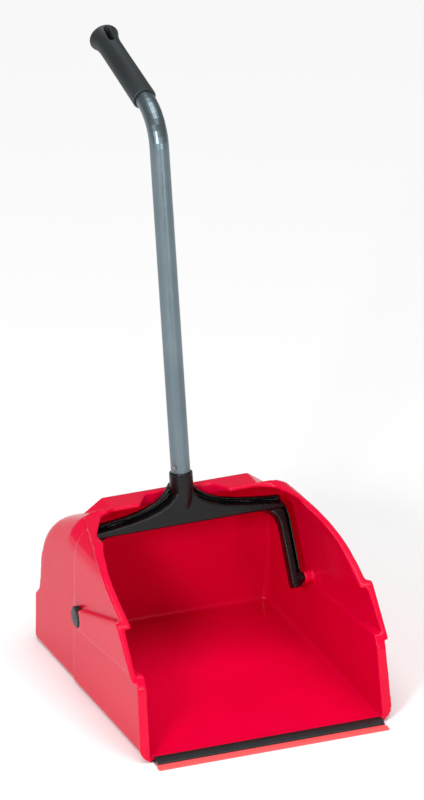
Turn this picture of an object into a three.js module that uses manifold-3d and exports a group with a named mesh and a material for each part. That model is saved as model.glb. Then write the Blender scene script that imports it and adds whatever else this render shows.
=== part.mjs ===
// Long-handled scoop dustpan. Millimetres: X across the scoop, Y back from the mouth, Z up.
// Pieces are laid out with Y = 0 at the tip of the lip and Z = 0 on the ground.
import * as THREE from "three";
import { mergeVertices } from "three/addons/utils/BufferGeometryUtils.js";
import Module from "manifold-3d";

const wasm = await Module();
wasm.setup();

// Scoop shell
const WALL = 3;
const HALF_WIDTH = 163; // outer, at the foot of the side walls
const WALL_DRAFT = 2; // how much each side wall leans in by the height of the hood
const HOOD_HEIGHT = 222;
const HOOD_CORNER = 44; // outer radius between side wall and hood
const REAR_CORNER = 30; // the same at the rear wall
const SEAM_Y = 281; // the step between the front collar and the slimmer rear body
const SEAM_STEP = 2;
const CREST_Y = 308; // where the hood turns down towards the rear
const ROOF_SLOPE = 0.49;
const REAR_Y = 422;
const BUMPER_TOP = 62; // the rear wall steps forward above this height
const BUMPER_STEP = 16;
const BUMPER_RISE = 15;
const BUMPER_ROUND = 5;
const BUMPER_SOLID = 11; // from the bumper's face to the foot of the inner rear wall
const REAR_LEAN = 11; // how much the upper rear wall leans forward
const REAR_TOP_RADIUS = 24;
const FOOT_RADIUS = 6; // outer radius between floor and walls
const REAR_PLAN_RADIUS = 14; // upright rear corners, outside
const INNER_PLAN_RADIUS = 20; // the same inside

// Mouth, seen from the side
const SILL_Y = 20; // front edge of the floor
const CHEEK = { y: 45, z: 103 }; // top of the steep lower front edge
const LEDGE = { y: 98, z: 159 }; // where the front edge meets the pad's ledge
const BROW_Y = 303; // front edge of the hood
const SWEEP_LOW = { y: 165, z: 191 }; // guides of the curve from the ledge up to the brow
const SWEEP_HIGH = { y: 232, z: 218 };
const EDGE_ROUND = 9; // rounding of the two corners of the front edge
const BROW_WIDE = { inset: 15, y: 240, drop: 10 }; // where the edge leaves the side wall for the hood
const BROW_NARROW = { inset: 44, y: 293 };

// Rolled flange round the mouth
const FLANGE_PROUD = 6;
const FLANGE_RISE = 1.5; // how far it stands above the hood
const FLANGE_FLARE = 3; // how much more it stands out at the foot
const FLANGE_DEPTH = 6;
const FLANGE_FOOT_RADIUS = 18;

// Raised pad on each cheek and the ledge above it
const PAD_PROUD = 8;
const PAD_FLANGE = 4; // how far the flange stands out over the pad
const PAD_FRONT_Z = 107; // height of its lower edge at the mouth
const PAD_HEAD_GAP = 3; // between the pad's rear end and the pin's head
const PAD_LOW_ANGLE = -115; // ends of that rear end, in degrees round the pivot
const PAD_HIGH_ANGLE = -228;
const PAD_RIM = 4; // solid margin round the hollow behind the pad
const HOLLOW_END = 22; // the hollow runs out this far in front of the pivot
const LEDGE_SHY = 1; // how far the bead on the pad's upper edge stops short of the pad's face
const LEDGE_DEPTH = 5;

// Hood tab with the notch that the neck rests in
const TAB_SHY = 63; // between the tab's end and the side wall's outer face
const TAB_REAR_Y = 340;
const TAB_RISE = 0.6; // above the hood
const TAB_SKIRT = 20; // how far the tab's rear edge reaches down to the sloping roof
const TAB_END_RUN = 1.4; // slope of the tab's ends, across for each unit down
const NOTCH_HALF = 62; // half width of the notch at its mouth
const NOTCH_GAP = 0.7; // behind the neck
const NOTCH_TAPER = 18; // how much each side closes in towards the back
const NOTCH_ROUND = 8;

// Lip
const LIP_SHY = 8; // between the carrier's end and the side wall's outer face
const BLADE_REACH = 11;
const BLADE_THICK = 1.8;
const BLADE_TIP = 1.2;
const BLADE_PAST = 2; // how much longer than the carrier the blade is at each end
const LEAF_OVER = 7; // how far the carrier reaches back over the floor
const LEAF_UNDER = 14; // and under it
const SILL_RUN = 20; // depth of the raised front strip of the floor
const CARRIER_WALL = 1.8;

// Pivot
const PIVOT = { y: 257, z: 103 };
const PIN_RADIUS = 5;
const PIN_HEAD_RADIUS = 14;
const PIN_HEAD_DEPTH = 8;
const PIN_FLUTES = 18;
const FLUTE_RADIUS = 1.5;
const BOSS_WALL = 3; // round the pin
const RUNNING_GAP = 0.3;

// Yoke
const ARM_SIDE_GAP = 20; // between an arm and the side wall's outer face
const ARM_WIDTH = 17;
const ARM_TIP = 12; // how far the arms reach below the pivot
const ARM_TIP_ROUND = 8;
const ARM_RIB_WIDTH = 8; // front rib along the arms' inner side
const ARCH_ROUND = 32; // outer corners between the arms and the crossbar
const ARCH_INNER_ROUND = 28;
const YOKE_LEAN = 31; // degrees that the arms lean back from upright
const YOKE_FRONT = 8; // front and back faces, measured from the pivot across the arms
const YOKE_BACK = 9;
const BAR_LOW = 93; // lower edge of the crossbar, along the arms from the pivot
const HUB_WALL = 2.5; // round the pin's hole
const GUSSET_LOW = -67; // lower edge of the crossbar, along the tube from the socket's top
const GUSSET_END = 12; // height of the crossbar at its ends
const GUSSET_OUT = 70; // guides of its swept upper edge, across from the middle
const GUSSET_IN = 24;
const GUSSET_FRONT = 12; // faces of the crossbar, measured from the tube's axis
const GUSSET_BACK = 11;
const SOCKET_STRAIGHT = 15; // plain round length of the socket above the gusset
const NECK_LOW = -64; // lower end of the neck's round
const NECK_FULL = -24; // where the neck has its full width
const YOKE_RIB = 2.5; // width of the lip round the back plate
const YOKE_WEB = 3; // thickness of the back plate
const YOKE_LIP = 6; // how far that lip stands in front of the back plate
const RIB_INSET = 6; // how far the crossbar's front rib stays below the back plate's edge

// Handle
const TUBE_RADIUS = 12.5;
const TUBE_WALL = 1.4;
const TUBE_LEAN = 9.6; // degrees back from upright
const SOCKET_TOP = { y: 318, z: 251 };
const SOCKET_WALL = 2.4;
const SOCKET_DEPTH = 26;
const SPIGOT_RISE = 26;
const TUBE_STRAIGHT = 428; // from the socket's top to the start of the bend
const BEND_RADIUS = 56;
const GRIP_RISE = 11.6; // degrees above level of the grip
const BEND_STEPS = 10;
const TUBE_TAIL = 104; // straight end inside the grip
const TAIL_SHOWN = 6; // straight length between the bend and the grip
const GRIP_LENGTH = 144;
const GRIP_WALL = 3.1; // over the tube, at the grip's mouth
const GRIP_NARROWING = 0.5;
const GRIP_FLARE = 4; // how much wider than its mouth the grip's end is
const GRIP_FLARE_LENGTH = 26;
const SLOT_LENGTH = 26;
const SLOT_WIDTH = 8;
const SLOT_FROM_END = 17;
const RIVET_RADIUS = 1.9;
const RIVET_HEAD_RADIUS = 3;
const RIVET_HEAD = 1.2;
const RIVET_BITE = 3; // the shank stops this far from the tube's axis
const RIVET_ABOVE_SOCKET = 8;
const RIVET_TURN = 57; // degrees round the tube from the front towards the left

// Sizes that follow from those above
const TAB_HALF = HALF_WIDTH - TAB_SHY;
const TAB_TOP = HOOD_HEIGHT + TAB_RISE;
const LIP_HALF = HALF_WIDTH - LIP_SHY;
const BOSS_RADIUS = PIN_RADIUS + BOSS_WALL;
const ARM_INNER = HALF_WIDTH - ARM_SIDE_GAP - ARM_WIDTH;
const GRIP_RADIUS = TUBE_RADIUS + GRIP_WALL;
const GRIP_WAIST = GRIP_RADIUS - GRIP_NARROWING;
const GRIP_FLARE_RADIUS = GRIP_RADIUS + GRIP_FLARE;
const SILL_RISE = CARRIER_WALL + 2 * RUNNING_GAP; // the floor's front strip clears the carrier's lower leaf
const SILL_TOP = SILL_RISE + WALL;
const GROOVE_LOW = RUNNING_GAP / 2 + CARRIER_WALL / 2; // the groove that holds the blade
const GROOVE_TOP = GROOVE_LOW + BLADE_THICK;
const GROOVE_END = SILL_Y - 2;
const SOCKET_RADIUS = TUBE_RADIUS + RUNNING_GAP + SOCKET_WALL;

// The frame's origin sits under the middle of the floor.
const FRAME_Y = 221;

// Overshoot of cutting tools past what they cut
const PAST = 40;
const CURVE_STEPS = 6;
const ROUND_STEPS = 32;

const RED = new THREE.MeshStandardMaterial({ color: 0xd80f36, roughness: 0.28, metalness: 0 });
const CORAL = new THREE.MeshStandardMaterial({ color: 0xeb4b50, roughness: 0.5, metalness: 0 });
const BLACK = new THREE.MeshStandardMaterial({ color: 0x3a3d3f, roughness: 0.45, metalness: 0 });
const GRAPHITE = new THREE.MeshStandardMaterial({ color: 0x3a4246, roughness: 0.6, metalness: 0 });
const ALUMINIUM = new THREE.MeshStandardMaterial({ color: 0x9aa8b3, roughness: 0.35, metalness: 0.9 });
const STEEL = new THREE.MeshStandardMaterial({ color: 0xa9adb0, roughness: 0.4, metalness: 1 });

const radians = THREE.MathUtils.degToRad;

function solidOf(geometry) {
  const bare = geometry.clone();
  bare.deleteAttribute("normal");
  bare.deleteAttribute("uv");
  const merged = mergeVertices(bare, 1e-4);
  return new wasm.Manifold(
    new wasm.Mesh({
      numProp: 3,
      vertProperties: new Float32Array(merged.attributes.position.array),
      triVerts: new Uint32Array(merged.index.array),
    }),
  );
}

function meshOf(name, solid, material) {
  const { vertProperties, triVerts } = solid.getMesh();
  const geometry = new THREE.BufferGeometry();
  geometry.setAttribute("position", new THREE.BufferAttribute(vertProperties, 3));
  geometry.setIndex(new THREE.BufferAttribute(triVerts, 1));
  geometry.computeVertexNormals();
  const mesh = new THREE.Mesh(geometry, material);
  mesh.name = name;
  return mesh;
}

// A closed outline from [u, v, corner] rows; corner is the length that the rounding takes off each side.
function outline(corners) {
  const shape = new THREE.Shape();
  const count = corners.length;
  corners.forEach(([u, v, corner = 0], i) => {
    const here = new THREE.Vector2(u, v);
    const before = new THREE.Vector2(...corners[(i + count - 1) % count].slice(0, 2));
    const after = new THREE.Vector2(...corners[(i + 1) % count].slice(0, 2));
    const start = here.clone().add(before.sub(here).setLength(corner));
    const end = here.clone().add(after.sub(here).setLength(corner));
    if (i === 0) shape.moveTo(start.x, start.y);
    else shape.lineTo(start.x, start.y);
    if (corner > 0) shape.quadraticCurveTo(here.x, here.y, end.x, end.y);
  });
  shape.closePath();
  return shape;
}

// An outline from the rows of its right half, in order away from the front.
function symmetric(half) {
  return outline([...half, ...half.map(([u, v, corner]) => [-u, v, corner]).reverse()]);
}

function extruded(shape, length, matrix) {
  const options = { depth: length, bevelEnabled: false, curveSegments: CURVE_STEPS };
  return solidOf(new THREE.ExtrudeGeometry(shape, options).applyMatrix4(matrix));
}

// Places a piece drawn along the axes u, v and w at an origin, all given as [x, y, z].
function placing(u, v, w, origin) {
  const axes = [u, v, w].map((axis) => new THREE.Vector3(...axis));
  return new THREE.Matrix4().makeBasis(...axes).setPosition(...origin);
}

// A (Y, Z) outline extruded from x0 to x1.
function alongX(shape, x0, x1) {
  return extruded(shape, x1 - x0, placing([0, 1, 0], [0, 0, 1], [1, 0, 0], [x0, 0, 0]));
}

// An (X, Z) outline extruded from y0 to y1.
function alongY(shape, y0, y1) {
  return extruded(shape, y1 - y0, placing([1, 0, 0], [0, 0, 1], [0, -1, 0], [0, y1, 0]));
}

// An (X, Y) outline extruded from z0 to z1.
function alongZ(shape, z0, z1) {
  return extruded(shape, z1 - z0, new THREE.Matrix4().makeTranslation(0, 0, z0));
}

function box(x0, x1, y0, y1, z0, z1) {
  const geometry = new THREE.BoxGeometry(x1 - x0, y1 - y0, z1 - z0);
  return solidOf(geometry.translate((x0 + x1) / 2, (y0 + y1) / 2, (z0 + z1) / 2));
}

// A round bar along X through (y, z).
function barX(radius, x0, x1, { y, z }, steps = ROUND_STEPS) {
  const geometry = new THREE.CylinderGeometry(radius, radius, x1 - x0, steps);
  return solidOf(geometry.rotateZ(-Math.PI / 2).translate((x0 + x1) / 2, y, z));
}

function mirrored(solid) {
  return solid.mirror([1, 0, 0]);
}

function bothSides(solid) {
  return solid.add(mirrored(solid));
}

// ---------------------------------------------------------------- scoop

function cornerArc(points, cx, cz, radius, from, to, steps) {
  for (let i = 0; i <= steps; i++) {
    const angle = from + ((to - from) * i) / steps;
    points.push([cx + radius * Math.cos(angle), cz + radius * Math.sin(angle)]);
  }
}

// One cross-section of the tunnel that the scoop is cut from: [x, z] points, anticlockwise.
function tunnelSection(halfWidth, height, topRadius, footRadius, base, draft = WALL_DRAFT) {
  const quarter = Math.PI / 2;
  const top = halfWidth - draft;
  const points = [];
  cornerArc(points, halfWidth - footRadius, base + footRadius, footRadius, -quarter, 0, 4);
  cornerArc(points, top - topRadius, height - topRadius, topRadius, 0, quarter, 8);
  cornerArc(points, topRadius - top, height - topRadius, topRadius, quarter, 2 * quarter, 8);
  cornerArc(points, footRadius - halfWidth, base + footRadius, footRadius, 2 * quarter, 3 * quarter, 4);
  return points;
}

// A closed solid through rings of count points each; flip turns its faces round.
function loftOf(positions, rings, count, flip = false) {
  const index = [];
  for (let s = 0; s + 1 < rings; s++) {
    for (let i = 0; i < count; i++) {
      const a = s * count + i;
      const b = s * count + ((i + 1) % count);
      index.push(a, a + count, b, b, a + count, b + count);
    }
  }
  const last = (rings - 1) * count;
  for (let i = 1; i + 1 < count; i++) {
    index.push(0, i, i + 1);
    index.push(last, last + i + 1, last + i);
  }
  if (flip) index.reverse();
  const geometry = new THREE.BufferGeometry();
  geometry.setAttribute("position", new THREE.Float32BufferAttribute(positions, 3));
  geometry.setIndex(index);
  return solidOf(geometry);
}

// A closed solid through convex sections with the same number of points, at rising y.
function loftAlongY(stations) {
  const positions = stations.flatMap(({ y, points }) => points.flatMap(([x, z]) => [x, y, z]));
  return loftOf(positions, stations.length, stations[0].points.length);
}

// The front collar's tunnel, from well before the mouth to the seam, inset on the sides and on the rest.
function collarTunnel(sideInset, inset) {
  const points = tunnelSection(
    HALF_WIDTH - sideInset,
    HOOD_HEIGHT - inset,
    HOOD_CORNER - inset,
    FOOT_RADIUS,
    inset,
  );
  return loftAlongY([
    { y: -PAST, points },
    { y: SEAM_Y, points },
  ]);
}

// [y, height] of the roof line behind the seam, down to the top of the rear wall.
function roofLine() {
  const rearFaceY = REAR_Y - BUMPER_STEP - REAR_LEAN;
  const rearTop = HOOD_HEIGHT - SEAM_STEP - ROOF_SLOPE * (rearFaceY - CREST_Y);
  const run = REAR_TOP_RADIUS / Math.hypot(1, ROOF_SLOPE);
  const curve = new THREE.QuadraticBezierCurve(
    new THREE.Vector2(rearFaceY - run, rearTop + run * ROOF_SLOPE),
    new THREE.Vector2(rearFaceY, rearTop),
    new THREE.Vector2(rearFaceY + 3, rearTop - REAR_TOP_RADIUS),
  );
  return [[CREST_Y, HOOD_HEIGHT - SEAM_STEP], ...curve.getPoints(5).map((p) => [p.x, p.y])];
}

// The rear body's tunnel; its roof corners tighten from the seam to the rear wall.
function rearTunnel(inset) {
  const roof = roofLine();
  const stations = [
    [SEAM_Y - 1, roof[0][1]],
    ...roof.map(([y, height]) => [y - (y > CREST_Y ? inset / 2 : 0), height]),
    [REAR_Y + PAST, roof.at(-1)[1]],
  ];
  return loftAlongY(
    stations.map(([y, height]) => {
      const share = Math.min((y - SEAM_Y) / (REAR_Y - BUMPER_STEP - SEAM_Y), 1);
      const corner = THREE.MathUtils.lerp(HOOD_CORNER, REAR_CORNER, share) - inset;
      const half = HALF_WIDTH - SEAM_STEP - inset;
      return { y, points: tunnelSection(half, height - inset, corner, FOOT_RADIUS, inset) };
    }),
  );
}

// Side view of everything in front of the rear wall's outer face.
function rearFaceCut() {
  const upper = REAR_Y - BUMPER_STEP;
  return outline([
    [-PAST * 2, 0],
    [REAR_Y, 0, FOOT_RADIUS],
    [REAR_Y, BUMPER_TOP, BUMPER_ROUND],
    [upper, BUMPER_TOP + BUMPER_RISE, BUMPER_ROUND],
    [upper - REAR_LEAN, HOOD_HEIGHT - REAR_LEAN],
    [-PAST * 2, HOOD_HEIGHT + PAST * 2],
  ]);
}

// The same for its inner face, which is plain, with the bumper solid behind it.
function rearInnerCut() {
  const upper = REAR_Y - BUMPER_STEP - WALL;
  return outline([
    [-PAST * 2, WALL],
    [REAR_Y - BUMPER_SOLID, WALL, FOOT_RADIUS],
    [upper, BUMPER_TOP + BUMPER_RISE, BUMPER_ROUND],
    [upper - REAR_LEAN, HOOD_HEIGHT - REAR_LEAN],
    [-PAST * 2, HOOD_HEIGHT + PAST * 2],
  ]);
}

// Plan view of the rear body with rounded upright corners; the collar in front of it stays uncut.
function planCut(halfWidth, rearY, radius) {
  const wide = HALF_WIDTH + PAST;
  return outline([
    [-wide, -PAST * 2],
    [wide, -PAST * 2],
    [wide, SEAM_Y],
    [halfWidth, SEAM_Y],
    [halfWidth, rearY, radius],
    [-halfWidth, rearY, radius],
    [-halfWidth, SEAM_Y],
    [-wide, SEAM_Y],
  ]);
}

function outerHull() {
  const wide = HALF_WIDTH + PAST;
  return collarTunnel(0, 0)
    .add(rearTunnel(0))
    .intersect(alongX(rearFaceCut(), -wide, wide))
    .intersect(alongZ(planCut(HALF_WIDTH, REAR_Y + 1, REAR_PLAN_RADIUS), -PAST, HOOD_HEIGHT + PAST));
}

// The cavity runs straight past the seam, so the seam's step shows outside only.
function cavity() {
  const wide = HALF_WIDTH + PAST;
  const half = HALF_WIDTH - SEAM_STEP - WALL;
  const rear = REAR_Y - BUMPER_SOLID + 1;
  return collarTunnel(SEAM_STEP + WALL, WALL)
    .add(rearTunnel(WALL))
    .intersect(alongX(rearInnerCut(), -wide, wide))
    .intersect(alongZ(planCut(half + 1, rear, INNER_PLAN_RADIUS), -PAST, HOOD_HEIGHT + PAST));
}

// Side view of everything behind the front edge of the scoop, moved by (dy, dz).
function behindMouth(dy = 0, dz = 0) {
  const shape = new THREE.Shape();
  const far = REAR_Y + PAST * 2;
  const high = HOOD_HEIGHT + PAST;
  const round = EDGE_ROUND;
  const at = (y, z) => [y + dy, z + dz];
  shape.moveTo(...at(SILL_Y - 2, -PAST));
  shape.lineTo(...at(CHEEK.y - round / 3, CHEEK.z - round));
  shape.quadraticCurveTo(...at(CHEEK.y, CHEEK.z), ...at(CHEEK.y + round, CHEEK.z + round));
  shape.lineTo(...at(LEDGE.y, LEDGE.z));
  shape.bezierCurveTo(
    ...at(SWEEP_LOW.y, SWEEP_LOW.z),
    ...at(SWEEP_HIGH.y, SWEEP_HIGH.z),
    ...at(BROW_Y - round, HOOD_HEIGHT - 1),
  );
  shape.quadraticCurveTo(...at(BROW_Y, HOOD_HEIGHT), ...at(BROW_Y, HOOD_HEIGHT + round));
  shape.lineTo(...at(BROW_Y, high));
  shape.lineTo(...at(far, high));
  shape.lineTo(...at(far, -PAST));
  shape.closePath();
  return shape;
}

function mouthFlange() {
  const wide = HALF_WIDTH + PAST;
  const back = FLANGE_DEPTH / Math.SQRT2;
  const band = alongX(behindMouth(), -wide, wide).subtract(alongX(behindMouth(back, -back), -wide, wide));
  const points = tunnelSection(
    HALF_WIDTH + FLANGE_PROUD + FLANGE_FLARE,
    HOOD_HEIGHT + FLANGE_RISE,
    HOOD_CORNER + FLANGE_PROUD,
    FLANGE_FOOT_RADIUS,
    0,
    WALL_DRAFT + FLANGE_FLARE,
  );
  const outer = loftAlongY([
    { y: -PAST, points },
    { y: BROW_Y + 12, points },
  ]);
  const tabGap = box(-TAB_HALF, TAB_HALF, 0, REAR_Y, HOOD_HEIGHT - 20, HOOD_HEIGHT + PAST);
  return outer.intersect(band).subtract(tabGap);
}

// Where the pad's lower and upper edges meet the round of its rear end, which follows the pin's head.
function padCorner(angle, grow) {
  const reach = PIN_HEAD_RADIUS + PAD_HEAD_GAP - grow;
  return { y: PIVOT.y + reach * Math.cos(radians(angle)), z: PIVOT.z + reach * Math.sin(radians(angle)) };
}

// The pad's side view; grow widens it on every edge but the front one.
function padOutline(grow) {
  const reach = PIN_HEAD_RADIUS + PAD_HEAD_GAP - grow;
  const shape = new THREE.Shape();
  shape.moveTo(0, PAD_FRONT_Z - grow);
  shape.lineTo(CHEEK.y, PAD_FRONT_Z - grow);
  shape.absarc(PIVOT.y, PIVOT.z, reach, radians(PAD_LOW_ANGLE), radians(PAD_HIGH_ANGLE), true);
  shape.lineTo(LEDGE.y, LEDGE.z + grow);
  shape.lineTo(0, LEDGE.z + grow + PAST);
  shape.closePath();
  return shape;
}

// A raised bead that runs along the pad's upper edge.
function ledgeOutline() {
  const rear = padCorner(PAD_HIGH_ANGLE, 0);
  return outline([
    [rear.y, rear.z - LEDGE_DEPTH / 2],
    [rear.y, rear.z + LEDGE_DEPTH / 2],
    [LEDGE.y, LEDGE.z + LEDGE_DEPTH],
    [LEDGE.y - PAST, LEDGE.z + LEDGE_DEPTH],
    [LEDGE.y - PAST, LEDGE.z],
    [LEDGE.y, LEDGE.z],
  ]);
}

function cheekPad() {
  const wall = HALF_WIDTH - WALL_DRAFT - WALL;
  const pad = alongX(padOutline(0), wall, HALF_WIDTH + PAD_PROUD);
  const bead = alongX(ledgeOutline(), wall, HALF_WIDTH + PAD_PROUD - LEDGE_SHY);
  return bothSides(pad.add(bead));
}

function padFlange() {
  const back = FLANGE_DEPTH / Math.SQRT2;
  const x0 = HALF_WIDTH - 1;
  const x1 = HALF_WIDTH + PAD_PROUD + PAD_FLANGE;
  const band = alongX(behindMouth(), x0, x1).subtract(alongX(behindMouth(back, -back), x0, x1));
  return bothSides(band.intersect(alongX(padOutline(PAD_FLANGE), x0, x1)));
}

// The hollow behind each pad; it is deepest at the front edge and runs out towards the pivot.
function padHollow() {
  const rear = padCorner(PAD_LOW_ANGLE, 0);
  const rearTop = padCorner(PAD_HIGH_ANGLE, 0);
  const side = outline([
    [0, PAD_FRONT_Z + PAD_RIM],
    [CHEEK.y, PAD_FRONT_Z + PAD_RIM],
    [rear.y, rear.z + PAD_RIM],
    [rearTop.y, rearTop.z - PAD_RIM],
    [LEDGE.y, LEDGE.z - PAD_RIM],
    [0, LEDGE.z + PAST],
  ]);
  const inner = HALF_WIDTH - PAST;
  const deep = HALF_WIDTH + PAD_PROUD - WALL;
  const plan = outline([
    [inner, 0],
    [deep, 0],
    [deep, CHEEK.y],
    [HALF_WIDTH - SEAM_STEP - WALL, PIVOT.y - HOLLOW_END],
    [inner, PIVOT.y - HOLLOW_END],
  ]);
  const hollow = alongX(side, inner, HALF_WIDTH + PAST).intersect(alongZ(plan, 0, HOOD_HEIGHT));
  return bothSides(hollow);
}

// A level plate on the crest of the hood, with sloping ends.
function hoodTab() {
  const side = outline([
    [BROW_Y, HOOD_HEIGHT - WALL],
    [TAB_REAR_Y, HOOD_HEIGHT - TAB_SKIRT],
    [TAB_REAR_Y, TAB_TOP],
    [BROW_Y, TAB_TOP],
  ]);
  const low = HOOD_HEIGHT - TAB_SKIRT;
  const foot = TAB_HALF + (TAB_TOP - low) * TAB_END_RUN;
  const face = outline([
    [-foot, low],
    [foot, low],
    [TAB_HALF, TAB_TOP, 2],
    [-TAB_HALF, TAB_TOP, 2],
  ]);
  return alongX(side, -foot, foot).intersect(alongY(face, 0, REAR_Y));
}

// Trims the hood's front edge back along its swept line and cuts the neck's notch into the tab.
function hoodTrim() {
  const edge = [
    [HALF_WIDTH - BROW_WIDE.inset, 0],
    [HALF_WIDTH - BROW_WIDE.inset, BROW_WIDE.y],
    [HALF_WIDTH - BROW_NARROW.inset, BROW_NARROW.y],
    [TAB_HALF, BROW_Y],
  ];
  const neckShift = (SOCKET_TOP.z - HOOD_HEIGHT) * Math.tan(radians(TUBE_LEAN));
  const back = SOCKET_TOP.y - neckShift + SOCKET_RADIUS + NOTCH_GAP;
  const notch = [
    [NOTCH_HALF, 0],
    [NOTCH_HALF, BROW_Y],
    [NOTCH_HALF - NOTCH_TAPER, back, NOTCH_ROUND],
  ];
  const high = HOOD_HEIGHT + PAST;
  const trim = alongZ(symmetric(edge), HOOD_HEIGHT - BROW_WIDE.drop, high);
  return trim.add(alongZ(symmetric(notch), HOOD_HEIGHT - TAB_SKIRT, high));
}

function sill() {
  const half = HALF_WIDTH - WALL;
  return box(-half, half, SILL_Y, SILL_Y + SILL_RUN, 0, SILL_TOP);
}

function sillRelief() {
  const half = LIP_HALF + 2;
  return box(-half, half, 0, SILL_Y + LEAF_UNDER + 1, -1, SILL_RISE);
}

function pivotBosses() {
  const x0 = ARM_INNER + ARM_WIDTH + 1;
  return bothSides(barX(BOSS_RADIUS, x0, HALF_WIDTH - 2, PIVOT));
}

function pivotBores() {
  const x0 = ARM_INNER + ARM_WIDTH - 1;
  return bothSides(barX(PIN_RADIUS + RUNNING_GAP, x0, HALF_WIDTH + PAST, PIVOT));
}

function panShell() {
  const wide = HALF_WIDTH + PAST;
  const mouth = alongX(behindMouth(), -wide, wide);
  return outerHull()
    .add(cheekPad())
    .add(mouthFlange())
    .add(padFlange())
    .add(hoodTab())
    .subtract(cavity())
    .subtract(padHollow())
    .add(sill())
    .add(pivotBosses())
    .intersect(mouth)
    .subtract(hoodTrim())
    .subtract(sillRelief())
    .subtract(pivotBores());
}

// ---------------------------------------------------------------- lip

// A strip that grips the front edge of the floor and holds the blade in a groove along its own front.
function lipCarrier() {
  const under = SILL_Y + LEAF_UNDER;
  const over = SILL_Y + LEAF_OVER;
  const low = RUNNING_GAP / 2;
  const top = SILL_TOP + RUNNING_GAP;
  const body = outline([
    [BLADE_REACH, low],
    [under, low],
    [under, low + CARRIER_WALL],
    [SILL_Y - RUNNING_GAP, low + CARRIER_WALL],
    [SILL_Y - RUNNING_GAP, top],
    [over, top],
    [over, top + CARRIER_WALL, 1],
    [SILL_Y - 1, top + CARRIER_WALL, 2],
    [BLADE_REACH, GROOVE_TOP + CARRIER_WALL, 1],
  ]);
  const groove = outline([
    [BLADE_REACH - 1, GROOVE_LOW],
    [GROOVE_END, GROOVE_LOW],
    [GROOVE_END, GROOVE_TOP],
    [BLADE_REACH - 1, GROOVE_TOP],
  ]);
  return alongX(body, -LIP_HALF, LIP_HALF).subtract(alongX(groove, -LIP_HALF - 1, LIP_HALF + 1));
}

// The blade stands on the ground in front of the carrier and is a little longer than it.
function lipBlade() {
  const low = GROOVE_LOW + RUNNING_GAP;
  const high = GROOVE_TOP - RUNNING_GAP;
  const shape = outline([
    [0, 0],
    [BLADE_REACH - 4, 0],
    [BLADE_REACH + 1, low],
    [GROOVE_END - RUNNING_GAP, low],
    [GROOVE_END - RUNNING_GAP, high],
    [BLADE_REACH - 1, high],
    [0, BLADE_TIP],
  ]);
  const length = LIP_HALF + BLADE_PAST;
  const corner = box(LIP_HALF, length + 1, BLADE_REACH - 2, SILL_Y, -1, SILL_TOP);
  return alongX(shape, -length, length).subtract(bothSides(corner));
}

// ---------------------------------------------------------------- yoke

// Places a piece drawn with X across, Y along the arms from the pivot and Z out of the front face.
function yokeFrame() {
  const lean = radians(YOKE_LEAN);
  const along = [0, Math.sin(lean), Math.cos(lean)];
  return placing([1, 0, 0], along, [0, -along[2], along[1]], [0, PIVOT.y, PIVOT.z]);
}

// Front view of the arch made by the two arms, with its outer and inner sides drawn in.
function archOutline(outerInset, innerInset) {
  const inner = ARM_INNER + innerInset;
  const outer = ARM_INNER + ARM_WIDTH - outerInset;
  const top = BAR_LOW + ARM_WIDTH - outerInset;
  const corner = ARCH_ROUND - outerInset;
  const foot = innerInset - ARM_TIP;
  const tip = Math.min(ARM_TIP_ROUND, (outer - inner) / 2 - 0.5);
  return outline([
    [inner, foot, tip],
    [inner, BAR_LOW + innerInset, ARCH_INNER_ROUND],
    [-inner, BAR_LOW + innerInset, ARCH_INNER_ROUND],
    [-inner, foot, tip],
    [-outer, foot, tip],
    [-outer, top, corner],
    [outer, top, corner],
    [outer, foot, tip],
  ]);
}

// Front view of the crossbar's gusset, drawn with height 0 at the socket's top; it sweeps up into the neck.
// Its upper edge and its lower edge are drawn in.
function gussetOutline(outerInset, innerInset) {
  const half = ARM_INNER + ARM_WIDTH / 2 - innerInset;
  const low = GUSSET_LOW + innerInset;
  const end = GUSSET_LOW + GUSSET_END - outerInset;
  const neck = SOCKET_RADIUS - 1 - outerInset / 2;
  const high = -SOCKET_STRAIGHT - outerInset * 2;
  const shape = new THREE.Shape();
  shape.moveTo(-half, low);
  shape.lineTo(half, low);
  shape.lineTo(half, end);
  shape.bezierCurveTo(GUSSET_OUT, end + 4, GUSSET_IN, end + 12, neck, high);
  shape.lineTo(-neck, high);
  shape.bezierCurveTo(-GUSSET_IN, end + 12, -GUSSET_OUT, end + 4, -half, end);
  shape.closePath();
  return shape;
}

function tubeDirection() {
  const lean = radians(TUBE_LEAN);
  return new THREE.Vector3(0, Math.sin(lean), Math.cos(lean));
}

// A lathe profile of [radius, height] rows, stood on the tube's axis with height 0 at the socket's top.
function onTubeAxis(rows, steps = ROUND_STEPS) {
  const profile = rows.map(([radius, height]) => new THREE.Vector2(radius, height));
  const geometry = new THREE.LatheGeometry(profile, steps);
  const turn = new THREE.Quaternion().setFromUnitVectors(new THREE.Vector3(0, 1, 0), tubeDirection());
  geometry.applyQuaternion(turn).translate(0, SOCKET_TOP.y, SOCKET_TOP.z);
  return solidOf(geometry);
}

// Places a piece drawn with X across, Y up the tube's axis from the socket's top and Z towards the front.
function tubeFrame() {
  const up = tubeDirection();
  return placing([1, 0, 0], [...up], [0, -up.z, up.y], [0, SOCKET_TOP.y, SOCKET_TOP.z]);
}

function inFrame(frame, shape, back, front) {
  const lift = new THREE.Matrix4().makeTranslation(0, 0, back);
  return extruded(shape, front - back, frame.clone().multiply(lift));
}

// A deep rib in front of a thin back plate that is wider than it and has a lip round its edge; drawn gives
// the front view with its outer and inner sides drawn in.
function ribbedPlate(frame, drawn, back, front, ribInset) {
  const plate = inFrame(frame, drawn(0, 0), back, back + YOKE_WEB + YOKE_LIP);
  const recess = inFrame(frame, drawn(YOKE_RIB, YOKE_RIB), back + YOKE_WEB, back + YOKE_WEB + YOKE_LIP + 1);
  return plate.subtract(recess).add(inFrame(frame, drawn(ribInset, 0), back, front));
}

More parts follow.
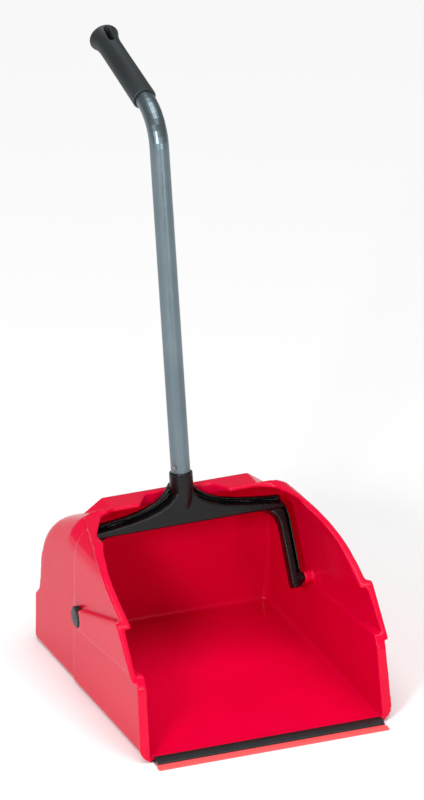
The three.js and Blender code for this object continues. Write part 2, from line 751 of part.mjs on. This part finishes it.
// The round neck, with a dome for its lower end, up to the top of the spigot inside the tube.
function neck() {
  const dome = [];
  for (let i = 0; i <= CURVE_STEPS; i++) {
    const angle = (Math.PI / 2) * (i / CURVE_STEPS);
    dome.push([SOCKET_RADIUS * Math.sin(angle), NECK_FULL - (NECK_FULL - NECK_LOW) * Math.cos(angle)]);
  }
  return onTubeAxis([...dome, [SOCKET_RADIUS, SPIGOT_RISE], [0, SPIGOT_RISE]]);
}

// Everything round the spigot: the slot for the tube's end and all that lies above the socket's top.
function socketCut() {
  const spigot = TUBE_RADIUS - TUBE_WALL - RUNNING_GAP;
  const groove = TUBE_RADIUS + RUNNING_GAP;
  return onTubeAxis([
    [spigot, -SOCKET_DEPTH],
    [groove, -SOCKET_DEPTH],
    [groove, 0],
    [groove + PAST, 0],
    [groove + PAST, SPIGOT_RISE + PAST],
    [spigot, SPIGOT_RISE + PAST],
    [spigot, -SOCKET_DEPTH],
  ]);
}

function yoke() {
  const crossbar = ribbedPlate(tubeFrame(), gussetOutline, -GUSSET_BACK, GUSSET_FRONT, RIB_INSET);
  const arch = ribbedPlate(yokeFrame(), archOutline, -YOKE_BACK, YOKE_FRONT, ARM_WIDTH - ARM_RIB_WIDTH);
  const hub = bothSides(barX(PIN_RADIUS + HUB_WALL, ARM_INNER, ARM_INNER + ARM_WIDTH, PIVOT));
  const pinHole = bothSides(barX(PIN_RADIUS + RUNNING_GAP, ARM_INNER + YOKE_WEB, HALF_WIDTH, PIVOT));
  return crossbar.add(arch).add(hub).add(neck()).subtract(socketCut()).subtract(pinHole);
}

// ---------------------------------------------------------------- pins

function pivotPin() {
  const shaft = barX(PIN_RADIUS, ARM_INNER + YOKE_WEB + 1, HALF_WIDTH + 1, PIVOT);
  const face = HALF_WIDTH + RUNNING_GAP;
  const tip = face + PIN_HEAD_DEPTH;
  const rows = [
    [0, face],
    [PIN_HEAD_RADIUS, face],
    [PIN_HEAD_RADIUS, tip - 2],
    [PIN_HEAD_RADIUS - 3, tip - 0.6],
    [0, tip],
  ];
  const profile = rows.map(([radius, height]) => new THREE.Vector2(radius, height));
  const head = solidOf(
    new THREE.LatheGeometry(profile, PIN_FLUTES * 2).rotateZ(-Math.PI / 2).translate(0, PIVOT.y, PIVOT.z),
  );
  let pin = shaft.add(head);
  for (let i = 0; i < PIN_FLUTES; i++) {
    const angle = (2 * Math.PI * i) / PIN_FLUTES;
    const at = {
      y: PIVOT.y + PIN_HEAD_RADIUS * Math.cos(angle),
      z: PIVOT.z + PIN_HEAD_RADIUS * Math.sin(angle),
    };
    pin = pin.subtract(barX(FLUTE_RADIUS, face - 1, tip + 1, at, 6));
  }
  return pin;
}

// ---------------------------------------------------------------- handle

// Corners of the tube's centre line in the YZ plane, from inside the socket to inside the grip; extra
// lengthens both ends.
function handleStops(extra = 0) {
  const up = tubeDirection();
  const top = new THREE.Vector3(0, SOCKET_TOP.y, SOCKET_TOP.z);
  const start = top.clone().addScaledVector(up, RUNNING_GAP - SOCKET_DEPTH - extra);
  const bendStart = top.clone().addScaledVector(up, TUBE_STRAIGHT);
  const toCentre = new THREE.Vector3(0, up.z, -up.y);
  const centre = bendStart.clone().addScaledVector(toCentre, BEND_RADIUS);
  const turn = radians(90 - TUBE_LEAN - GRIP_RISE);
  const stops = [start];
  for (let i = 0; i <= BEND_STEPS; i++) {
    const angle = (turn * i) / BEND_STEPS;
    const stop = centre.clone().addScaledVector(toCentre, -BEND_RADIUS * Math.cos(angle));
    stops.push(stop.addScaledVector(up, BEND_RADIUS * Math.sin(angle)));
  }
  stops.push(stops.at(-1).clone().addScaledVector(gripDirection(), TAIL_SHOWN + TUBE_TAIL + extra));
  return stops;
}

function gripDirection() {
  const rise = radians(GRIP_RISE);
  return new THREE.Vector3(0, Math.cos(rise), Math.sin(rise));
}

// A round bar through the given stops, which lie in the YZ plane.
function sweptBar(radius, stops) {
  const positions = [];
  stops.forEach((stop, i) => {
    const before = stops[Math.max(i - 1, 0)];
    const after = stops[Math.min(i + 1, stops.length - 1)];
    const along = after.clone().sub(before).normalize();
    const across = new THREE.Vector3(0, along.z, -along.y);
    for (let k = 0; k < ROUND_STEPS; k++) {
      const angle = (2 * Math.PI * k) / ROUND_STEPS;
      const point = stop.clone().addScaledVector(across, radius * Math.sin(angle));
      positions.push(radius * Math.cos(angle), point.y, point.z);
    }
  });
  return loftOf(positions, stops.length, ROUND_STEPS, true);
}

function handleTube() {
  return sweptBar(TUBE_RADIUS, handleStops()).subtract(
    sweptBar(TUBE_RADIUS - TUBE_WALL, handleStops(PAST)),
  );
}

function rivetAxis() {
  const up = tubeDirection();
  const turn = radians(RIVET_TURN);
  const front = new THREE.Vector3(0, -up.z, up.y);
  return front.multiplyScalar(Math.cos(turn)).add(new THREE.Vector3(-Math.sin(turn), 0, 0));
}

// A round bar across the tube at the rivet, from one distance off the tube's axis to another.
function acrossTube(radius, from, to) {
  const out = rivetAxis();
  const geometry = new THREE.CylinderGeometry(radius, radius, to - from, 16);
  const turn = new THREE.Quaternion().setFromUnitVectors(new THREE.Vector3(0, 1, 0), out);
  const middle = new THREE.Vector3(0, SOCKET_TOP.y, SOCKET_TOP.z)
    .addScaledVector(tubeDirection(), RIVET_ABOVE_SOCKET)
    .addScaledVector(out, (from + to) / 2);
  return solidOf(geometry.applyQuaternion(turn).translate(middle.x, middle.y, middle.z));
}

function rivet() {
  const seat = TUBE_RADIUS + RUNNING_GAP;
  const shank = acrossTube(RIVET_RADIUS, RIVET_BITE + RUNNING_GAP, seat + 0.5);
  return shank.add(acrossTube(RIVET_HEAD_RADIUS, seat, seat + RIVET_HEAD));
}

function rivetHole() {
  return acrossTube(RIVET_RADIUS + RUNNING_GAP, RIVET_BITE, TUBE_RADIUS + 2);
}

// A lathe profile of [radius, distance] rows along the grip, distance 0 at its mouth.
function onGripAxis(rows) {
  const profile = rows.map(([radius, distance]) => new THREE.Vector2(radius, distance));
  const geometry = new THREE.LatheGeometry(profile, ROUND_STEPS);
  const turn = new THREE.Quaternion().setFromUnitVectors(new THREE.Vector3(0, 1, 0), gripDirection());
  const mouth = handleStops().at(-1).addScaledVector(gripDirection(), -TUBE_TAIL);
  return solidOf(geometry.applyQuaternion(turn).translate(mouth.x, mouth.y, mouth.z));
}

function grip() {
  const flareStart = GRIP_LENGTH - GRIP_FLARE_LENGTH;
  const rise = GRIP_FLARE_RADIUS - GRIP_WAIST;
  const flare = [0.25, 0.5, 0.75, 1].map((share) => [
    GRIP_WAIST + rise * share ** 2.2,
    flareStart + (GRIP_FLARE_LENGTH - 3) * share,
  ]);
  const body = onGripAxis([
    [0, 0],
    [GRIP_RADIUS - 1, 0],
    [GRIP_RADIUS, 1],
    [GRIP_WAIST, flareStart - 30],
    [GRIP_WAIST, flareStart],
    ...flare,
    [GRIP_FLARE_RADIUS - 0.5, GRIP_LENGTH - 1],
    [GRIP_FLARE_RADIUS - 3, GRIP_LENGTH],
    [0, GRIP_LENGTH],
  ]);
  const bore = onGripAxis([
    [0, -PAST],
    [TUBE_RADIUS + RUNNING_GAP, -PAST],
    [TUBE_RADIUS + RUNNING_GAP, TUBE_TAIL + 1],
    [0, TUBE_TAIL + 1],
  ]);
  return body.subtract(bore).subtract(hangingSlot());
}

function hangingSlot() {
  const half = SLOT_WIDTH / 2;
  const run = SLOT_LENGTH / 2 - half;
  const shape = new THREE.Shape();
  shape.absarc(0, run, half, 0, Math.PI, false);
  shape.absarc(0, -run, half, Math.PI, 2 * Math.PI, false);
  shape.closePath();
  const along = gripDirection();
  const up = new THREE.Vector3(0, -along.z, along.y);
  const middle = handleStops()
    .at(-1)
    .addScaledVector(along, GRIP_LENGTH - SLOT_FROM_END - TUBE_TAIL)
    .addScaledVector(up, -PAST);
  return extruded(shape, 2 * PAST, placing([1, 0, 0], [...along], [...up], [...middle]));
}

// ---------------------------------------------------------------- assembly

const scoop = new THREE.Group();
scoop.add(
  meshOf("pan_shell", panShell(), RED),
  meshOf("lip_carrier", lipCarrier(), BLACK),
  meshOf("lip_blade", lipBlade(), CORAL),
  meshOf("pivot_pin_right", pivotPin(), BLACK),
  meshOf("pivot_pin_left", mirrored(pivotPin()), BLACK),
);

const handle = new THREE.Group();
handle.add(
  meshOf("yoke", yoke().subtract(rivetHole()), BLACK),
  meshOf("handle_tube", handleTube().subtract(rivetHole()), ALUMINIUM),
  meshOf("tube_rivet", rivet(), STEEL),
  meshOf("grip", grip(), GRAPHITE),
);

const dustpan = new THREE.Group();
dustpan.add(scoop, handle);
dustpan.position.y = -FRAME_Y;
dustpan.updateMatrixWorld(true);

export default dustpan;
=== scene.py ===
"""Looks of the long-handled dustpan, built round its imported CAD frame. Metres, in the part's own frame."""

import math

import bpy
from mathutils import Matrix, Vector


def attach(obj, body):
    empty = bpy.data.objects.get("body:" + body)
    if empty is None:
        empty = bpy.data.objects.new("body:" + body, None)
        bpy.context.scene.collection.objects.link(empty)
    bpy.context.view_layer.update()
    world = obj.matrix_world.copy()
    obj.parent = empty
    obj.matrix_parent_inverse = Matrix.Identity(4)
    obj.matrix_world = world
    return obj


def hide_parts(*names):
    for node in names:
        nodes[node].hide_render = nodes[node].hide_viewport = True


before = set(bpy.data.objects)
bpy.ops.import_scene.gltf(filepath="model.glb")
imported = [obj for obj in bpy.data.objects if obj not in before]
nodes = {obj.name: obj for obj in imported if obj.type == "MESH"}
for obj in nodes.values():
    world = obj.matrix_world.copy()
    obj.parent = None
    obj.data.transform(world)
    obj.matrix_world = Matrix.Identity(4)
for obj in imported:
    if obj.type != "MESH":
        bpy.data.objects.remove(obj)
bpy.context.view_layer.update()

# Camera: degrees from -Y towards +X, degrees above level, and metres from what it looks at
CAMERA_AZIMUTH = -22.07
CAMERA_ELEVATION = 24.9
CAMERA_DISTANCE = 20.0
CAMERA_LENS = 712.0  # millimetres; long, so that the view is close to parallel
CAMERA_AIM = (0, -0.0092, 0.3968)

FLOOR_HALF = 6.0
FLOOR_DROP = 0.0006  # just under the part, so that the two faces don't fight


def srgb(red, green, blue):
    """A linear colour from 0-255 display values."""

    def linear(value):
        value /= 255
        return value / 12.92 if value <= 0.04045 else ((value + 0.055) / 1.055) ** 2.4

    return (linear(red), linear(green), linear(blue), 1.0)


def outward(azimuth, elevation):
    """A direction away from the part: azimuth degrees from -Y towards +X, elevation above level."""
    turn, rise = math.radians(azimuth), math.radians(elevation)
    return Vector(
        (math.sin(turn) * math.cos(rise), -math.cos(turn) * math.cos(rise), math.sin(rise))
    )


def placed(name, data, location, away):
    """A light or camera at a location, looking back along away."""
    thing = bpy.data.objects.new(name, data)
    bpy.context.scene.collection.objects.link(thing)
    thing.location = location
    thing.rotation_euler = away.to_track_quat("Z", "Y").to_euler()
    return thing


# ---------------------------------------------------------------- materials


def new_material(name):
    material = bpy.data.materials.new(name)
    material.use_nodes = True
    tree = material.node_tree
    return material, tree, tree.nodes["Principled BSDF"]


def object_noise(tree, scale, detail=4.0, stretch=(1, 1, 1)):
    coords = tree.nodes.new("ShaderNodeTexCoord")
    mapping = tree.nodes.new("ShaderNodeMapping")
    mapping.inputs["Scale"].default_value = stretch
    noise = tree.nodes.new("ShaderNodeTexNoise")
    noise.inputs["Scale"].default_value = scale
    noise.inputs["Detail"].default_value = detail
    tree.links.new(coords.outputs["Object"], mapping.inputs["Vector"])
    tree.links.new(mapping.outputs["Vector"], noise.inputs["Vector"])
    return noise.outputs["Fac"]


def ramp(tree, factor, low, high, start=0.3, end=0.7):
    node = tree.nodes.new("ShaderNodeMapRange")
    node.inputs["From Min"].default_value = start
    node.inputs["From Max"].default_value = end
    node.inputs["To Min"].default_value = low
    node.inputs["To Max"].default_value = high
    tree.links.new(factor, node.inputs["Value"])
    return node.outputs["Result"]


def colour_mix(tree, factor, second):
    """A mix node whose factor and second colour are set; its first colour is for the caller."""
    node = tree.nodes.new("ShaderNodeMix")
    node.data_type = "RGBA"
    node.inputs["B"].default_value = second
    tree.links.new(factor, node.inputs["Factor"])
    return node


def add_bump(tree, shader, height, strength, distance):
    bump = tree.nodes.new("ShaderNodeBump")
    bump.inputs["Strength"].default_value = strength
    bump.inputs["Distance"].default_value = distance
    tree.links.new(height, bump.inputs["Height"])
    tree.links.new(bump.outputs["Normal"], shader.inputs["Normal"])


def edge_mask(tree, low=0.54, high=0.66):
    geometry = tree.nodes.new("ShaderNodeNewGeometry")
    return ramp(tree, geometry.outputs["Pointiness"], 0.0, 1.0, low, high)


def plastic(name, colour, shade, worn, roughness, spread, grain, grain_depth):
    """Moulded plastic: mottled colour, paler worn edges, uneven gloss and a fine grain."""
    material, tree, shader = new_material(name)
    broad = object_noise(tree, 9.0, 3.0)
    fine = object_noise(tree, grain, 2.0)
    base = colour_mix(tree, ramp(tree, broad, 0.0, 1.0), shade)
    base.inputs["A"].default_value = colour
    edges = colour_mix(tree, edge_mask(tree), worn)
    tree.links.new(base.outputs["Result"], edges.inputs["A"])
    tree.links.new(edges.outputs["Result"], shader.inputs["Base Color"])
    scuff = object_noise(tree, 60.0, 5.0, (1, 0.25, 1))
    gloss = ramp(tree, scuff, roughness - spread, roughness + spread)
    tree.links.new(gloss, shader.inputs["Roughness"])
    add_bump(tree, shader, fine, 0.25, grain_depth)
    return material, shader


def red_plastic():
    colours = srgb(222, 0, 54), srgb(214, 0, 50), srgb(238, 34, 82)
    material, shader = plastic("red_moulded", *colours, 0.2, 0.04, 700.0, 0.00004)
    shader.inputs["Specular IOR Level"].default_value = 0.16
    shader.inputs["Coat Weight"].default_value = 0.04
    shader.inputs["Coat Roughness"].default_value = 0.12
    return material


def black_plastic():
    colours = srgb(11, 11, 12), srgb(8, 8, 9), srgb(52, 55, 58)
    material, shader = plastic("black_satin", *colours, 0.3, 0.05, 900.0, 0.00006)
    shader.inputs["Specular IOR Level"].default_value = 0.3
    return material


def grip_plastic():
    colours = srgb(28, 35, 38), srgb(23, 29, 32), srgb(66, 74, 78)
    return plastic("grip_matt", *colours, 0.55, 0.06, 1500.0, 0.00012)[0]


def coral_rubber():
    colours = srgb(232, 58, 62), srgb(222, 48, 54), srgb(244, 90, 92)
    return plastic("lip_coral", *colours, 0.5, 0.08, 600.0, 0.00008)[0]


def aluminium():
    """Drawn tube: cloudy, with fine streaks along its length."""
    material, tree, shader = new_material("tube_aluminium")
    shader.inputs["Metallic"].default_value = 1.0
    shader.inputs["Anisotropic"].default_value = 0.35
    streaks = object_noise(tree, 260.0, 3.0, (1, 1, 0.02))
    cloud = object_noise(tree, 14.0, 3.0)
    base = colour_mix(tree, ramp(tree, cloud, 0.0, 1.0), srgb(110, 125, 132))
    base.inputs["A"].default_value = srgb(122, 136, 143)
    tree.links.new(base.outputs["Result"], shader.inputs["Base Color"])
    tree.links.new(ramp(tree, streaks, 0.3, 0.42), shader.inputs["Roughness"])
    add_bump(tree, shader, streaks, 0.15, 0.00004)
    return material


def steel():
    material, tree, shader = new_material("rivet_steel")
    shader.inputs["Metallic"].default_value = 1.0
    shader.inputs["Base Color"].default_value = srgb(150, 156, 160)
    grain = object_noise(tree, 900.0)
    tree.links.new(ramp(tree, grain, 0.3, 0.5), shader.inputs["Roughness"])
    add_bump(tree, shader, grain, 0.2, 0.00005)
    return material


# ---------------------------------------------------------------- pieces


def dress(name, material, angle=30):
    """Gives a CAD node its material and smooth faces, sharp over angle degrees."""
    mesh = nodes[name].data
    mesh.materials.clear()
    mesh.materials.append(material)
    for polygon in mesh.polygons:
        polygon.use_smooth = True
    mesh.set_sharp_from_angle(angle=math.radians(angle))


def apply_modifier(piece, kind, **settings):
    modifier = piece.modifiers.new(kind.lower(), kind)
    for key, value in settings.items():
        setattr(modifier, key, value)
    with bpy.context.temp_override(object=piece, active_object=piece, selected_objects=[piece]):
        bpy.ops.object.modifier_apply(modifier=modifier.name)


def softened(name, body, material, voxel, passes, keep):
    """A moulding with its edges rounded and its joins blended, made from the CAD node's shape."""
    mesh = nodes[name].data.copy()
    mesh.name = name + "_moulded"
    piece = bpy.data.objects.new(name + "_moulded", mesh)
    bpy.context.scene.collection.objects.link(piece)
    bpy.context.view_layer.objects.active = piece
    apply_modifier(piece, "REMESH", mode="VOXEL", voxel_size=voxel, adaptivity=0.0)
    apply_modifier(piece, "SMOOTH", factor=0.5, iterations=passes)
    apply_modifier(piece, "DECIMATE", ratio=keep)
    for polygon in piece.data.polygons:
        polygon.use_smooth = True
    piece.data.materials.clear()
    piece.data.materials.append(material)
    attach(piece, body)
    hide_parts(name)


RED = red_plastic()
BLACK = black_plastic()
softened("pan_shell", "scoop", RED, 0.0012, 14, 0.22)
softened("yoke", "handle", BLACK, 0.0010, 10, 0.4)
dress("lip_carrier", BLACK)
dress("lip_blade", coral_rubber())
dress("pivot_pin_left", BLACK)
dress("pivot_pin_right", BLACK)
dress("handle_tube", aluminium())
dress("tube_rivet", steel())
dress("grip", grip_plastic())


# ---------------------------------------------------------------- studio


def studio_floor():
    mesh = bpy.data.meshes.new("floor")
    size = FLOOR_HALF
    corners = [(-size, -size, 0), (size, -size, 0), (size, size, 0), (-size, size, 0)]
    mesh.from_pydata(corners, [], [(0, 1, 2, 3)])
    floor = bpy.data.objects.new("floor", mesh)
    bpy.context.scene.collection.objects.link(floor)
    floor.location.z = -FLOOR_DROP
    material, _, shader = new_material("floor_pale")
    shader.inputs["Base Color"].default_value = (0.93, 0.93, 0.93, 1)
    shader.inputs["Roughness"].default_value = 0.9
    shader.inputs["Specular IOR Level"].default_value = 0.1
    mesh.materials.append(material)


def soft_box(name, azimuth, elevation, distance, size, power, aim=(0, 0, 0.2)):
    """A square area light; angles in degrees, the azimuth from -Y towards +X."""
    light = bpy.data.lights.new(name, "AREA")
    light.shape = "RECTANGLE"
    light.size = light.size_y = size
    light.energy = power
    away = outward(azimuth, elevation)
    placed(name, light, Vector(aim) + away * distance, away)


def overhead(strength, lean, spread):
    """A broad soft light from above that leans towards the mouth; lean and spread in degrees."""
    light = bpy.data.lights.new("overhead", "SUN")
    light.energy = strength
    light.angle = math.radians(spread)
    lamp = bpy.data.objects.new("overhead", light)
    bpy.context.scene.collection.objects.link(lamp)
    lamp.rotation_euler = (math.radians(lean), 0, 0)


def world_light(strength):
    world = bpy.data.worlds.new("studio")
    world.use_nodes = True
    background = world.node_tree.nodes["Background"]
    background.inputs["Color"].default_value = (1, 1, 1, 1)
    background.inputs["Strength"].default_value = strength
    bpy.context.scene.world = world


def camera():
    data = bpy.data.cameras.new("camera")
    data.lens = CAMERA_LENS
    data.sensor_width = 36.0
    data.clip_end = CAMERA_DISTANCE * 5
    away = outward(CAMERA_AZIMUTH, CAMERA_ELEVATION)
    eye = placed("camera", data, Vector(CAMERA_AIM) + away * CAMERA_DISTANCE, away)
    bpy.context.scene.camera = eye


studio_floor()
world_light(0.34)
overhead(1.95, 8, 50)
soft_box("key_left", -42, 26, 2.6, 0.4, 34)
soft_box("key_right", 9, 15, 2.6, 0.4, 10)
camera()
bpy.context.scene.view_settings.view_transform = "Standard"
